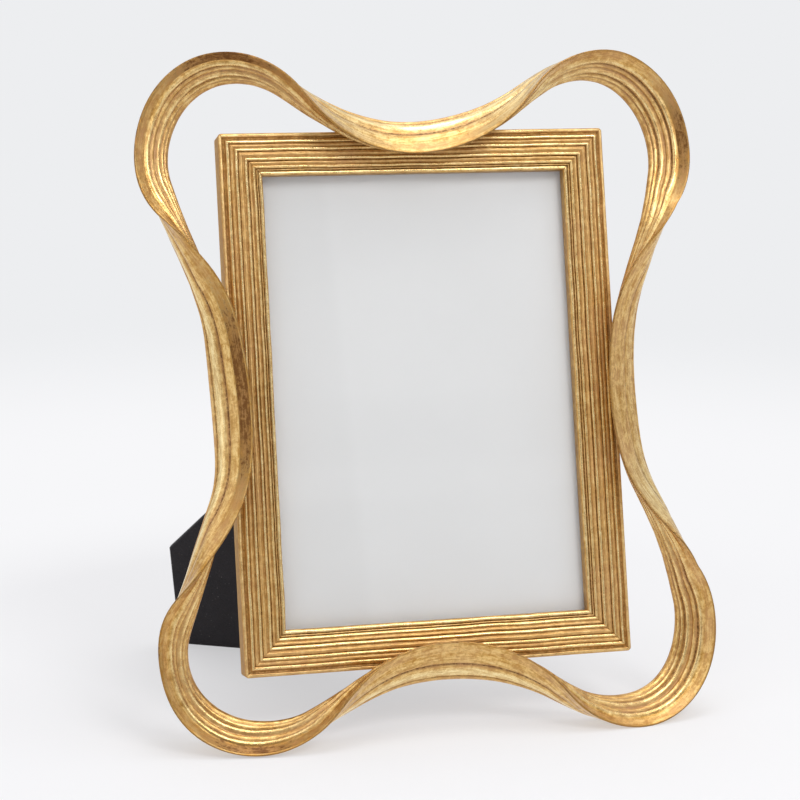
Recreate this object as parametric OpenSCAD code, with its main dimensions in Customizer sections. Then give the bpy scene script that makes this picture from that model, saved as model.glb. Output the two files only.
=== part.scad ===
// Tabletop photo frame: a reeded, mitred moulding inside a wavy ribbon, standing on an easel leg.
// The frame is drawn upright, with X to the right, Y to the back and Z up. The moulding's back lies
// on the plane y = 0 and the window is centred on the origin. Then all of it leans back on its leg.

/* [Picture] */
// Width of the picture and its glass
picture_w = 127; // [90:1:160]
// Height of the picture and its glass
picture_h = 178; // [140:1:220]
// How far the lip covers each side edge of the picture
cover_side = 3.5; // [2:0.5:6]
// How far the lip covers the top and bottom edge of the picture
cover_end = 2.5; // [2:0.5:6]
// Room round the glass inside the rabbet, on each side
picture_slack = 0.5; // [0.2:0.1:1]

/* [Moulding] */
// Width of each rail, seen from the front
rail_w = 17.3; // [16:0.1:22]
// Thickness of a rail at its flat outer rim
rim_h = 11; // [10:0.1:12]
// Width of the flat outer rim
rim_w = 2.4; // [1.5:0.1:4]
// Number of reeds between the rim and the lip
reed_count = 4; // [3:1:5]
// Height of the outermost and innermost reed above the rim
reed_rise = 0.5; // [0:0.1:1]
// Extra height of the middle reeds
reed_crown = 0.8; // [0:0.1:1.2]
// Radius of the lip bead next to the glass
lip_r = 1.2; // [0.8:0.1:1.6]
// Height of the lip bead above the rim
lip_rise = 0.2; // [0:0.1:0.8]
// Radius of the moulding's outer corners
corner_r = 1.5; // [0.5:0.1:3]

/* [Ribbon front edge] */
// Radius of each of the four loops
front_loop_r = 36.4; // [34:0.1:39]
// Distance of each loop's centre inwards from the moulding's outer side
front_loop_in_x = 2.3; // [0:0.1:5]
// Distance of each loop's centre inwards from the moulding's outer end
front_loop_in_z = 8.4; // [6:0.1:11]
// Reach of the top and bottom dips over the rails
front_dip_in = 10.1; // [8.5:0.1:12]
// Reach of the side dips over the rails
front_waist_in = 7.3; // [6:0.1:9]
// Radius of the top and bottom dips, as a share of the circle that touches both loops
front_dip_share = 0.99; // [0.6:0.01:1]
// Radius of the side dips, as a share of the circle that touches both loops
front_waist_share = 0.96; // [0.6:0.01:1]

/* [Ribbon back edge] */
// Radius of each of the four loops
back_loop_r = 32.6; // [30:0.1:35]
// Distance of each loop's centre inwards from the moulding's outer side
back_loop_in_x = 8.9; // [7:0.1:11]
// Distance of each loop's centre inwards from the moulding's outer end
back_loop_in_z = 10.7; // [9:0.1:12.5]
// Distance of the top and bottom dips outwards from the rails
back_dip_out = 0.7; // [-0.5:0.1:2]
// Distance of the side dips outwards from the rails
back_waist_out = 3; // [2:0.1:3.8]
// Radius of the top and bottom dips, as a share of the circle that touches both loops
back_dip_share = 0.98; // [0.6:0.01:1]
// Radius of the side dips, as a share of the circle that touches both loops
back_waist_share = 0.7; // [0.5:0.01:1]

/* [Ribbon section] */
// Height of the front edge above the moulding's back, at the loops
front_h_loop = 18.1; // [16:0.1:21]
// Height of the front edge where the ribbon crosses over
front_h_flank = 26.5; // [24:0.1:28]
// Height of the front edge at the dips
front_h_dip = 20.5; // [18.5:0.1:23]
// Height of the back edge at the loops
back_h_loop = 4.6; // [4:0.1:6.5]
// Height of the back edge where the ribbon crosses over
back_h_flank = 13; // [12:0.1:15]
// Height of the back edge at the dips
back_h_dip = 7.5; // [6.5:0.1:9]
// Half the thickness of the back edge at the loops and dips
back_half_loop = 5.3; // [4.5:0.1:6]
// Half the thickness of the back edge where the ribbon crosses over
back_half_flank = 4.3; // [3.5:0.1:5]
// Sideways swing between the edges at which the heights above are reached
full_swing = 12; // [11:0.5:14]
// Depth of the grooves along both faces
groove_depth = 0.7; // [0.2:0.1:1]

/* [Backing] */
// Thickness of the glass
glass_t = 2; // [1.5:0.1:3]
// Thickness of the blank sheet behind the glass
insert_t = 0.3; // [0.2:0.1:0.5]
// Thickness of the packing card
card_t = 1.2; // [0.8:0.1:2]
// Thickness of the back board
board_t = 3; // [2.5:0.1:4]
// Radius of the back board's corners
board_corner_r = 2; // [1:0.5:4]

/* [Corner nails] */
// Length of each arm of a nail
nail_arm = 5; // [3:0.5:6]
// Thickness of the nail's strip
nail_t = 0.6; // [0.4:0.1:1]
// Depth that a nail is driven in
nail_depth = 7; // [5:0.5:8]

/* [Turn buttons] */
// Thickness of a turn button
button_t = 1; // [0.8:0.1:1.5]
// Radius of the button's round end at the screw
button_r = 4.5; // [4:0.1:5]
// Radius of the button's tip
button_tip_r = 2.6; // [2:0.1:3.5]
// Length from the screw to the tip's centre
button_reach = 11; // [9:0.5:12]
// Distance of the screw from the moulding's outer edge
button_inset = 8; // [7:0.5:8.5]
// Radius of a screw's shank
screw_r = 1.4; // [1.2:0.1:1.6]
// Depth of a screw in the rail
screw_depth = 7; // [5:0.5:8]
// Radius of a screw's head
screw_head_r = 2.8; // [2.4:0.1:3.2]
// Height of a screw's head
screw_head_h = 1.4; // [1:0.1:2]

/* [Easel leg] */
// Angle by which the frame leans back
lean = 14.3; // [11:0.1:16]
// Sideways place of the hinge on the board
hinge_x = 17; // [10:1:25]
// Upward place of the hinge on the board
hinge_z = 3; // [0:1:15]
// Width of the leg
leg_w = 67; // [50:1:75]
// Thickness of the leg
leg_t = 3; // [2.5:0.1:4]
// Bevel round the leg's edges
leg_bevel = 0.5; // [0.2:0.1:0.8]

/* [Hinge] */
// Length of the hinge along its pin
hinge_len = 36; // [28:1:44]
// Reach of each leaf from the pin
leaf_reach = 17; // [14:0.5:20]
// Thickness of the leaves
leaf_t = 0.8; // [0.6:0.1:1]
// Outer radius of the knuckles
knuckle_r = 2.2; // [2:0.1:2.6]
// Radius of the hinge pin
pin_r = 1; // [0.8:0.1:1.2]
// Radius of a rivet's shank
rivet_r = 1.1; // [0.9:0.1:1.4]
// Radius of a rivet's head
rivet_head_r = 2.2; // [1.8:0.1:2.6]
// Height of a rivet's head
rivet_head_h = 0.9; // [0.6:0.1:1.2]
// Depth of a rivet's shank in the board or the leg
rivet_depth = 2.2; // [1.5:0.1:2.3]

/* [Hidden] */
$fn = 48;

// Clearances
press_gap = 0.02;
running_gap = 0.06;
slide_gap = 0.1;
knuckle_gap = 0.3;
overrun = 1;
// Depth of the flats that the two lower loops stand on
foot_flat = 0.5;

// Window, moulding and rabbet
window_w = picture_w - 2 * cover_side;
window_h = picture_h - 2 * cover_end;
outer_w = window_w + 2 * rail_w;
outer_h = window_h + 2 * rail_w;
rabbet_depth = glass_t + insert_t + card_t + board_t;
reed_pitch = (rail_w - rim_w - 2 * lip_r) / reed_count;
crest_h = rim_h + reed_rise + reed_crown;

// Turn arms, grooves and reeds along a face of the ribbon: share of the way from front edge to back
// edge, and share of the groove depth below the face
face_shares = [
    [0.36, 0], [0.43, 1], [0.53, 0], [0.63, 1], [0.73, 0], [0.82, 1], [0.91, 0], [1, 0.6]
];
// Steps along a quarter of the ribbon: dip, straight, loop, straight, waist
quarter_steps = [9, 2, 22, 2, 9];

// Leg opening at which both of its foot edges lie flat on the ground
open_angle = 2 * atan(sqrt(2) * tan(lean));
// The pin lies behind the board, so that the leg's knuckle runs clear of it
pin_y = knuckle_r + knuckle_gap;
// The leg's knuckle takes the middle half of the pin
centre_half = hinge_len / 4;

// Unit vectors and small helpers
function unit(a) = [cos(a), sin(a)];
function heading(v) = atan2(v[1], v[0]);
function wrap(a) = a < -180 ? wrap(a + 360) : a > 180 ? wrap(a - 360) : a;
function above(a, low) = a < low ? above(a + 360, low) : a;
function arc(centre, r, from, to, steps, side) = [
    for (i = [0 : steps]) let (n = unit(from + (to - from) * i / steps)) [centre + r * n, side * n]
];
function between(p, q, n, steps) = [for (i = [1 : steps]) [p + (q - p) * i / (steps + 1), n]];

// Radius of the circle that passes through a dip at distance d from the centre line's crossing and
// touches a loop: side is the loop centre's distance along the dip, ahead how far the dip lies past it
function touching_r(side, ahead, r) = (side * side + ahead * ahead - r * r) / (2 * (r - ahead));

// A quarter of a wavy closed curve, from the top dip over the loop to the waist.
// Each entry is a point and its outward normal.
function quarter(loop, r, dip_z, dip_share, waist_x, waist_share) =
    let (
        dip_r = dip_share * touching_r(loop[0], dip_z - loop[1], r),
        waist_r = waist_share * touching_r(loop[1], waist_x - loop[0], r),
        dip = [0, dip_z + dip_r],
        waist = [waist_x + waist_r, 0],
        turn_dip = acos(min(1, (r + dip_r) / norm(dip - loop))),
        turn_waist = acos(min(1, (r + waist_r) / norm(waist - loop))),
        a = above(heading(dip - loop) - turn_dip, 0),
        b = heading(waist - loop) + turn_waist,
        s = quarter_steps
    )
    concat(
        arc(dip, dip_r, -90, wrap(a + 180), s[0], -1),
        between(dip - dip_r * unit(a), loop + r * unit(a), unit(a), s[1]),
        arc(loop, r, a, b, s[2], 1),
        between(loop + r * unit(b), waist - waist_r * unit(b), unit(b), s[3]),
        arc(waist, waist_r, b + 180, 180, s[4], -1)
    );

function flip(list) = [for (i = [len(list) - 1 : -1 : 1]) list[i]];
function drop_last(list) = [for (i = [0 : len(list) - 2]) list[i]];
function mirrored(list, mx, mz) = [
    for (e = list) [[e[0][0] * mx, e[0][1] * mz], [e[1][0] * mx, e[1][1] * mz]]
];
function closed_curve(q) = concat(
    drop_last(q), flip(mirrored(q, 1, -1)), drop_last(mirrored(q, -1, -1)), flip(mirrored(q, -1, 1))
);

half_w = outer_w / 2;
half_h = outer_h / 2;
front_curve = closed_curve(quarter(
    [half_w - front_loop_in_x, half_h - front_loop_in_z], front_loop_r,
    half_h - front_dip_in, front_dip_share, half_w - front_waist_in, front_waist_share
));
back_curve = closed_curve(quarter(
    [half_w - back_loop_in_x, half_h - back_loop_in_z], back_loop_r,
    half_h + back_dip_out, back_dip_share, half_w + back_waist_out, back_waist_share
));
stations = len(front_curve);

// A value along the ribbon: swing is 1 at a loop, 0 where the ribbon crosses over and -1 at a dip
function along(swing, at_loop, at_flank, at_dip) =
    at_flank + (at_loop - at_dip) / 2 * swing + ((at_loop + at_dip) / 2 - at_flank) * swing * swing;

// Section of the ribbon at one station: the front edge first, then the outer face, then the inner face
function section(front, back) =
    let (
        out = (front[1] + back[1]) / norm(front[1] + back[1]),
        swing = max(-1, min(1, (front[0] - back[0]) * out / full_swing)),
        edge = [front[0][0], -along(swing, front_h_loop, front_h_flank, front_h_dip), front[0][1]],
        heel = [back[0][0], -along(swing, back_h_loop, back_h_flank, back_h_dip), back[0][1]],
        half = along(swing, back_half_loop, back_half_flank, back_half_loop),
        deep = heel[1] - edge[1],
        wide = (front[0] - back[0]) * out,
        cosine = deep / norm([deep, wide]),
        sine = wide / norm([deep, wide]),
        across = [out[0] * cosine, sine, out[1] * cosine]
    )
    concat(
        [edge],
        [for (f = face_shares) edge + (heel - edge) * f[0] + across * (half * f[0] - groove_depth * f[1])],
        [for (i = [len(face_shares) - 1 : -1 : 0]) let (f = face_shares[i])
            edge + (heel - edge) * f[0] - across * (half * f[0] - groove_depth * f[1])]
    );

ring_size = 1 + 2 * len(face_shares);
ribbon_points = [for (i = [0 : stations - 1]) each section(front_curve[i], back_curve[i])];
ribbon_faces = [
    for (i = [0 : stations - 1], j = [0 : ring_size - 1])
        let (
            k = (i + 1) % stations,
            m = (j + 1) % ring_size,
            a = i * ring_size + j,
            b = i * ring_size + m,
            c = k * ring_size + m,
            d = k * ring_size + j
        )
        each [[a, b, c], [a, c, d]]
];

// Place on the ground: the lower loops stand on small flats cut at the ground plane
function leaned(p) = [p[0], p[1] * cos(lean) + p[2] * sin(lean), p[2] * cos(lean) - p[1] * sin(lean)];
ribbon_leaned = [for (p = ribbon_points) leaned(p)];
ground = min([for (p = ribbon_leaned) p[2]]) + foot_flat;

// A point of the leg, drawn closed in the hinge frame, on the opened leg of the leaning frame
function on_leg(p) =
    let (
        y = p[1] * cos(open_angle) + p[2] * sin(open_angle),
        z = p[2] * cos(open_angle) - p[1] * sin(open_angle)
    )
    leaned([hinge_x + (y - p[0]) / sqrt(2), pin_y + z, hinge_z + (y + p[0]) / sqrt(2)]);

// The heel of the leg's leaf meets the board's leaf when the leg is open
heel_arm = knuckle_r - leaf_t;
leg_face = leg_t - heel_arm;
heel_len = (heel_arm * cos(open_angle) + pin_y - leaf_t - slide_gap) / sin(open_angle);

// Length of the leg from the pin to the corner of its foot, so that the foot meets the ground
leg_down = cos(open_angle) / sqrt(2) * cos(lean) + sin(open_angle) * sin(lean);
leg_len = (on_leg([0, 0, leg_bevel - leg_face])[2] - ground) / leg_down;

// Depth of the whole object from the ribbon to the foot, so that the origin is at its middle
front_y = min([for (p = ribbon_leaned) p[1]]);
back_y = max(
    on_leg([0, -leg_len, heel_arm - leg_bevel])[1],
    on_leg([0, leg_bevel * sqrt(2) - leg_len, heel_arm])[1]
);
middle_y = (front_y + back_y) / 2;

// Colours
gold = [0.80, 0.62, 0.31];
black = [0.16, 0.15, 0.15];
steel = [0.72, 0.72, 0.70];
brass = [0.78, 0.63, 0.33];

// Leans the upright frame back and sets it on the ground
module stand() {
    translate([0, -middle_y, -ground])
        rotate([-lean, 0, 0])
            children();
}

// Puts a flat drawing of the front view at a depth, with its thickness to the back
module plate(y, t) {
    translate([0, y + t, 0])
        rotate([90, 0, 0])
            linear_extrude(t)
                children();
}

module rounded_sheet(w, h, r) {
    square([w - 2 * r, h], center = true);
    square([w, h - 2 * r], center = true);
    for (x = [-1, 1], z = [-1, 1])
        translate([x * (w / 2 - r), z * (h / 2 - r)])
            circle(r);
}

// Profile of a rail: x runs from the outer edge towards the window, y is the height above the back.
// The lip covers the picture by the given amount.
module rail_profile(cover) {
    rabbet_start = rail_w - cover - picture_slack;
    groove_r = reed_pitch / 6;
    difference() {
        union() {
            square([rail_w - lip_r, rim_h]);
            translate([rail_w - 2 * lip_r, 0])
                square([2 * lip_r, rim_h + lip_rise - lip_r]);
            translate([rail_w - lip_r, rim_h + lip_rise - lip_r])
                circle(lip_r);
            for (i = [0 : reed_count - 1])
                reed(i);
        }
        translate([rabbet_start, -overrun])
            square([rail_w, rabbet_depth + overrun]);
        translate([rim_w, rim_h])
            circle(groove_r);
    }
}

// One reed, a round rib on its own straight foot
module reed(i) {
    middle = sin(180 * (i + 0.5) / reed_count);
    rise = reed_rise + reed_crown * middle;
    r = reed_pitch / 2;
    x = rim_w + reed_pitch * (i + 0.5);
    translate([x, rim_h + rise - r])
        circle(r);
    translate([x - r, 0])
        square([2 * r, rim_h + rise - r]);
}

// Front view of one mitred rail that lies at the top of a box w wide and h high
module mitre(w, h) {
    intersection() {
        polygon([
            [-w / 2, h / 2], [w / 2, h / 2],
            [w / 2 - rail_w, h / 2 - rail_w], [-w / 2 + rail_w, h / 2 - rail_w]
        ]);
        rounded_sheet(w, h, corner_r);
    }
}

// A rail along the top of a box w wide and h high
module rail(w, h, cover) {
    difference() {
        intersection() {
            translate([-w / 2, 0, h / 2])
                rotate([90, 0, 90])
                    linear_extrude(w)
                        mirror([1, 1])
                            rail_profile(cover);
            plate(-crest_h - overrun, crest_h + 2 * overrun)
                mitre(w, h);
        }
        corner_nails(w, h, press_gap);
        translate([0, 0, h / 2 - button_inset])
            rotate([90, 0, 0])
                cylinder(h = screw_depth + press_gap, r = screw_r + press_gap);
    }
}

// The nails at all four corners of a box w wide and h high, grown by a gap
module corner_nails(w, h, gap) {
    for (mx = [0, 1], mz = [0, 1])
        mirror([mx, 0, 0])
            mirror([0, 0, mz])
                translate([w / 2, 0, h / 2])
                    plate(-nail_depth - gap, nail_depth + gap)
                        nail_strip(gap);
}

// Front view of one nail: two arms along the two rails, with their corner on the mitre
module nail_strip(gap) {
    corner = -rail_w / 2;
    translate([corner - gap, corner - gap]) {
        square([nail_arm + 2 * gap, nail_t + 2 * gap]);
        square([nail_t + 2 * gap, nail_arm + 2 * gap]);
    }
}

module turned(angle) {
    rotate([0, angle, 0])
        children();
}

module top_rail() {
    color(gold) stand() rail(outer_w, outer_h, cover_end);
}

module bottom_rail() {
    color(gold) stand() turned(180) rail(outer_w, outer_h, cover_end);
}

module right_rail() {
    color(gold) stand() turned(90) rail(outer_h, outer_w, cover_side);
}

module left_rail() {
    color(gold) stand() turned(-90) rail(outer_h, outer_w, cover_side);
}

module corner_v_nails() {
    color(steel) stand() corner_nails(outer_w, outer_h, 0);
}

// The ribbon, rebated where it seats over the moulding's outer edge and flat where it stands
module ribbon_surround() {
    color(gold)
        difference() {
            stand()
                difference() {
                    polyhedron(points = ribbon_points, faces = ribbon_faces, convexity = 8);
                    plate(-crest_h, crest_h)
                        square([outer_w, outer_h], center = true);
                }
            reach = outer_w + outer_h;
            translate([-reach / 2, -reach / 2, -foot_flat - overrun])
                cube([reach, reach, foot_flat + overrun]);
        }
}

module glass_pane() {
    color([0.85, 0.9, 0.9, 0.35])
        stand()
            plate(-rabbet_depth, glass_t)
                square([picture_w, picture_h], center = true);
}

module photo_insert() {
    color([0.87, 0.87, 0.88])
        stand()
            plate(-rabbet_depth + glass_t, insert_t)
                square([picture_w, picture_h], center = true);
}

module filler_card() {
    color([0.72, 0.66, 0.56])
        stand()
            plate(-board_t - card_t, card_t)
                square([picture_w, picture_h], center = true);
}

module back_board() {
    color(black)
        stand()
            difference() {
                plate(-board_t, board_t)
                    rounded_sheet(picture_w, picture_h, board_corner_r);
                hinge_frame()
                    translate([0, 0, -pin_y])
                        leaf_rivets(1)
                            rivet_shank(press_gap);
            }
}

// Puts its children on the screw of one side's turn button
module at_screw(angle, half) {
    turned(angle)
        translate([0, 0, half - button_inset])
            children();
}

// A turn button at the top, with its tip over the board
module turn_button() {
    rotate([-90, 0, 0])
        translate([0, 0, slide_gap])
            linear_extrude(button_t)
                difference() {
                    union() {
                        circle(button_r);
                        translate([0, button_reach])
                            circle(button_tip_r);
                        slant = asin((button_r - button_tip_r) / button_reach);
                        side = [cos(slant), sin(slant)];
                        polygon([
                            button_r * side,
                            [button_tip_r * side[0], button_reach + button_tip_r * side[1]],
                            [-button_tip_r * side[0], button_reach + button_tip_r * side[1]],
                            [-button_r * side[0], button_r * side[1]]
                        ]);
                    }
                    circle(screw_r + running_gap);
                }
}

module turn_button_top() {
    color(brass) stand() at_screw(0, outer_h / 2) turn_button();
}

module turn_button_bottom() {
    color(brass) stand() at_screw(180, outer_h / 2) turn_button();
}

module turn_button_right() {
    color(brass) stand() at_screw(90, outer_w / 2) turn_button();
}

module turn_button_left() {
    color(brass) stand() at_screw(-90, outer_w / 2) turn_button();
}

// A dome-headed screw with a cross recess, along y with its head to the back
module screw() {
    seat = 2 * slide_gap + button_t;
    slot_w = screw_r / 3;
    slot_l = screw_head_r;
    rotate([-90, 0, 0])
        difference() {
            union() {
                translate([0, 0, -screw_depth])
                    cylinder(h = screw_depth + seat + press_gap, r = screw_r);
                translate([0, 0, seat])
                    dome(screw_head_r, screw_head_h);
            }
            for (a = [0, 90])
                rotate(a)
                    translate([-slot_l / 2, -slot_w / 2, seat + screw_head_h / 2])
                        cube([slot_l, slot_w, screw_head_h]);
        }
}

// A low dome of base radius r and height h, standing on the plane z = 0
module dome(r, h) {
    ball = (r * r + h * h) / (2 * h);
    rotate_extrude()
        intersection() {
            translate([0, h - ball])
                circle(ball, $fn = 128);
            square([r, h]);
        }
}

module turn_button_screws() {
    color(steel)
        stand() {
            for (a = [0, 180])
                at_screw(a, outer_h / 2) screw();
            for (a = [-90, 90])
                at_screw(a, outer_w / 2) screw();
        }
}

// Hinge frame: x along the pin, y from the pin away from the leg, z to the back.
// The leg is drawn closed, running along -y.
module hinge_frame() {
    translate([hinge_x, pin_y, hinge_z])
        rotate([-90, 0, 0])
            rotate(-135)
                children();
}

module at_hinge() {
    stand()
        hinge_frame()
            children();
}

module opened() {
    at_hinge()
        rotate([-open_angle, 0, 0])
            children();
}

// Outline of the leg: a straight board whose foot ends in a right-angled corner
module leg_outline(inset) {
    half = leg_w / 2 - inset;
    head = knuckle_r + slide_gap + inset;
    corner = leg_len - inset * sqrt(2);
    polygon([[-half, -head], [half, -head], [half, -corner + half], [0, -corner], [-half, -corner + half]]);
}

module easel_leg() {
    color(black)
        opened()
            difference() {
                translate([0, 0, -leg_face])
                    hull() {
                        linear_extrude(leg_t)
                            leg_outline(leg_bevel);
                        translate([0, 0, leg_bevel])
                            linear_extrude(leg_t - 2 * leg_bevel)
                                leg_outline(0);
                    }
                translate([0, 0, heel_arm])
                    leaf_rivets(-1)
                        rivet_shank(press_gap);
            }
}

// Places of the rivets on a leaf that runs to the given side of the pin
module leaf_rivets(side) {
    for (x = [-1, 1])
        translate([x * hinge_len / 4, side * (leaf_reach + knuckle_r) / 2, 0])
            children();
}

// The rivet's shank below the plane z = 0
module rivet_shank(gap) {
    translate([0, 0, -rivet_depth - gap])
        cylinder(h = rivet_depth + overrun + gap, r = rivet_r + gap);
}

// A rivet through a leaf that lies on the plane z = 0
module rivet() {
    translate([0, 0, -rivet_depth])
        cylinder(h = rivet_depth + leaf_t + press_gap, r = rivet_r);
    translate([0, 0, leaf_t])
        dome(rivet_head_r, rivet_head_h);
}

// A length of knuckle along the pin, from one end to the other
module knuckle(from, to) {
    translate([from, 0, 0])
        rotate([0, 90, 0])
            cylinder(h = to - from, r = knuckle_r);
}

module pin_bore(gap) {
    translate([-hinge_len, 0, 0])
        rotate([0, 90, 0])
            cylinder(h = 2 * hinge_len, r = pin_r + gap);
}

module hinge_board_leaf() {
    relief = knuckle_r + knuckle_gap;
    color(steel)
        at_hinge()
            difference() {
                union() {
                    translate([-hinge_len / 2, 0, -pin_y])
                        cube([hinge_len, leaf_reach, leaf_t]);
                    knuckle(-hinge_len / 2, -centre_half - knuckle_gap);
                    knuckle(centre_half + knuckle_gap, hinge_len / 2);
                }
                translate([-centre_half - knuckle_gap, -relief, -pin_y - overrun])
                    cube([2 * (centre_half + knuckle_gap), 2 * relief, 2 * pin_y]);
                pin_bore(press_gap);
                translate([0, 0, -pin_y])
                    leaf_rivets(1)
                        cylinder(h = 2 * leaf_t, r = rivet_r + press_gap, center = true);
            }
}

module hinge_leg_leaf() {
    relief = knuckle_r + knuckle_gap;
    color(steel)
        opened()
            difference() {
                union() {
                    translate([-hinge_len / 2, -leaf_reach, heel_arm])
                        cube([hinge_len, leaf_reach, leaf_t]);
                    translate([-centre_half, 0, heel_arm])
                        cube([2 * centre_half, heel_len, leaf_t]);
                    knuckle(-centre_half, centre_half);
                }
                for (side = [-1, 1])
                    translate([side * (centre_half + hinge_len / 2), 0, 0])
                        cube([hinge_len, 2 * relief, 3 * knuckle_r], center = true);
                pin_bore(running_gap);
                translate([0, 0, heel_arm])
                    leaf_rivets(-1)
                        cylinder(h = 3 * leaf_t, r = rivet_r + press_gap, center = true);
            }
}

module hinge_pin() {
    head = knuckle_gap;
    color(steel)
        at_hinge()
            rotate([0, 90, 0]) {
                cylinder(h = hinge_len + 2 * head, r = pin_r, center = true);
                for (side = [0, 1])
                    mirror([0, 0, side])
                        translate([0, 0, hinge_len / 2])
                            dome((pin_r + knuckle_r) / 2, 2 * head);
            }
}

module board_rivets() {
    color(brass)
        at_hinge()
            translate([0, 0, -pin_y])
                leaf_rivets(1)
                    rivet();
}

module leg_rivets() {
    color(brass)
        opened()
            translate([0, 0, heel_arm])
                leaf_rivets(-1)
                    rivet();
}

top_rail();
bottom_rail();
left_rail();
right_rail();
corner_v_nails();
ribbon_surround();
glass_pane();
photo_insert();
filler_card();
back_board();
turn_button_top();
turn_button_bottom();
turn_button_left();
turn_button_right();
turn_button_screws();
easel_leg();
hinge_board_leaf();
hinge_leg_leaf();
hinge_pin();
board_rivets();
leg_rivets();
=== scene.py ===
# Looks of the gilt tabletop photo frame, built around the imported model
import bpy
import math
import numpy as np
from mathutils import Matrix, Vector, noise


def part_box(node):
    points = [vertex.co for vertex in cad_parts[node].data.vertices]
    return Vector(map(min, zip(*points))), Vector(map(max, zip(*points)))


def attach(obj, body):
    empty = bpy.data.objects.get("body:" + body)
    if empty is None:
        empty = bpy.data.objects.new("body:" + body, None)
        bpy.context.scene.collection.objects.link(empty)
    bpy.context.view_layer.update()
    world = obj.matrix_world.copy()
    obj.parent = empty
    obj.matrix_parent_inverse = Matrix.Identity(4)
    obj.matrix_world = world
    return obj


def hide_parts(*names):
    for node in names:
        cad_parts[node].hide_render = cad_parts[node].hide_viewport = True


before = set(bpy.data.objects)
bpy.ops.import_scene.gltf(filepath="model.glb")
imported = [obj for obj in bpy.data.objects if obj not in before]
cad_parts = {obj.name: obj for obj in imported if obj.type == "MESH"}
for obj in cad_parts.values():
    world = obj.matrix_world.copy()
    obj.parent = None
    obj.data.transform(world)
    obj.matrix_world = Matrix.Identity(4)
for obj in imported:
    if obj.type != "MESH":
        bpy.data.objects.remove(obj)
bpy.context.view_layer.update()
MM = 0.001

# Camera, at the photograph's viewing angle
CAMERA_PLACE = (-0.2273, -0.8730, 0.3048)
CAMERA_AIM = (-0.0039, 0.0, 0.1185)
CAMERA_ROLL = 0.433
PHOTO_WIDTH = 800
FOCAL_PIXELS = 2300
SENSOR = 36
CLIP = (0.05, 50)

# Sizes of the frame in millimetres, as the construction has them
PICTURE = (127, 178)
GLASS_T = 2.0
COVER = (3.5, 2.5)
RAIL_W = 17.3
RIM_H = 11.0
RIM_W = 2.4
REED_RISE = 0.5
REED_CROWN = 0.8
LIP_RISE = 0.2
CORNER_R = 1.5
PICTURE_SLACK = 0.5
RABBET_DEPTH = 6.5
LEAN = math.radians(14.3)

# Ribbon: radius of the loops, their place inwards from the moulding's outer side and end, the reach
# of the dips and waists inwards from it, and the radii of the dips' and waists' circles as shares of
# those that touch the loops
FRONT_EDGE = {"r": 36.4, "in_x": 2.3, "in_z": 8.4, "dip": 10.1, "waist": 7.3, "dip_share": 0.99,
              "waist_share": 0.96}
BACK_EDGE = {"r": 32.6, "in_x": 8.9, "in_z": 10.7, "dip": -0.7, "waist": -3.0, "dip_share": 0.98,
             "waist_share": 0.7}
# At a loop, at a flank where the ribbon crosses over, and at a dip: heights of the front edge and the
# back edge over the moulding's back, and half the thickness at the back edge
FRONT_HEIGHT = (18.1, 26.5, 20.5)
BACK_HEIGHT = (4.6, 13.0, 7.5)
BACK_HALF = (5.3, 4.3, 5.3)
# How far apart sideways the two edges are where the values of a loop or a dip hold
FULL_SWING = 12.0
# Finer steps than the construction's: dip, straight, loop, straight, waist
QUARTER_STEPS = (18, 4, 44, 4, 18)

WINDOW = (PICTURE[0] - 2 * COVER[0], PICTURE[1] - 2 * COVER[1])
HALF_W = WINDOW[0] / 2 + RAIL_W
HALF_H = WINDOW[1] / 2 + RAIL_W


def add_object(name, data):
    obj = bpy.data.objects.new(name, data)
    bpy.context.scene.collection.objects.link(obj)
    return obj


def camera():
    data = bpy.data.cameras.new("camera")
    data.sensor_width = SENSOR
    data.lens = FOCAL_PIXELS * SENSOR / PHOTO_WIDTH
    data.clip_start, data.clip_end = CLIP
    obj = add_object("camera", data)
    look = (Vector(CAMERA_AIM) - Vector(CAMERA_PLACE)).to_track_quat("-Z", "Y").to_matrix()
    turn = Matrix.Rotation(math.radians(CAMERA_ROLL), 3, "Z")
    obj.matrix_world = Matrix.Translation(CAMERA_PLACE) @ (look @ turn).to_4x4()
    bpy.context.scene.camera = obj


camera()
bpy.context.scene.view_settings.view_transform = "Standard"


# Shader helpers
def tree_of(holder):
    holder.use_nodes = True
    tree = holder.node_tree
    tree.nodes.clear()
    return tree


def add(tree, kind, inputs=None, **settings):
    made = tree.nodes.new(kind)
    for key, value in settings.items():
        setattr(made, key, value)
    for key, value in (inputs or {}).items():
        if isinstance(value, bpy.types.NodeSocket):
            tree.links.new(value, made.inputs[key])
        else:
            made.inputs[key].default_value = value
    return made


def calc(tree, operation, a, b, clamp=False):
    made = add(tree, "ShaderNodeMath", {0: a, 1: b}, operation=operation, use_clamp=clamp)
    return made.outputs[0]


def times(tree, a, b, clamp=False):
    return calc(tree, "MULTIPLY", a, b, clamp)


def plus(tree, a, b, clamp=False):
    return calc(tree, "ADD", a, b, clamp)


def minus(tree, a, b, clamp=False):
    return calc(tree, "SUBTRACT", a, b, clamp)


def blend_colour(tree, factor, a, b):
    """Sockets 0, 6 and 7 of a colour mix are its factor and colours, and 2 is its result."""
    return add(tree, "ShaderNodeMix", {0: factor, 6: a, 7: b}, data_type="RGBA").outputs[2]


def window(tree, value, low, high, to_low=0.0, to_high=1.0):
    """Maps low..high to to_low..to_high, held at both ends."""
    made = add(tree, "ShaderNodeMapRange", {"Value": value, "From Min": low, "From Max": high,
                                            "To Min": to_low, "To Max": to_high})
    return made.outputs["Result"]


def cloud(tree, vector, scale, detail, roughness, distortion=0.0):
    made = add(tree, "ShaderNodeTexNoise", {"Vector": vector, "Scale": scale, "Detail": detail,
                                            "Roughness": roughness, "Distortion": distortion})
    return made.outputs["Fac"]


def attribute(tree, name):
    return add(tree, "ShaderNodeAttribute", attribute_name=name)


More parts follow.
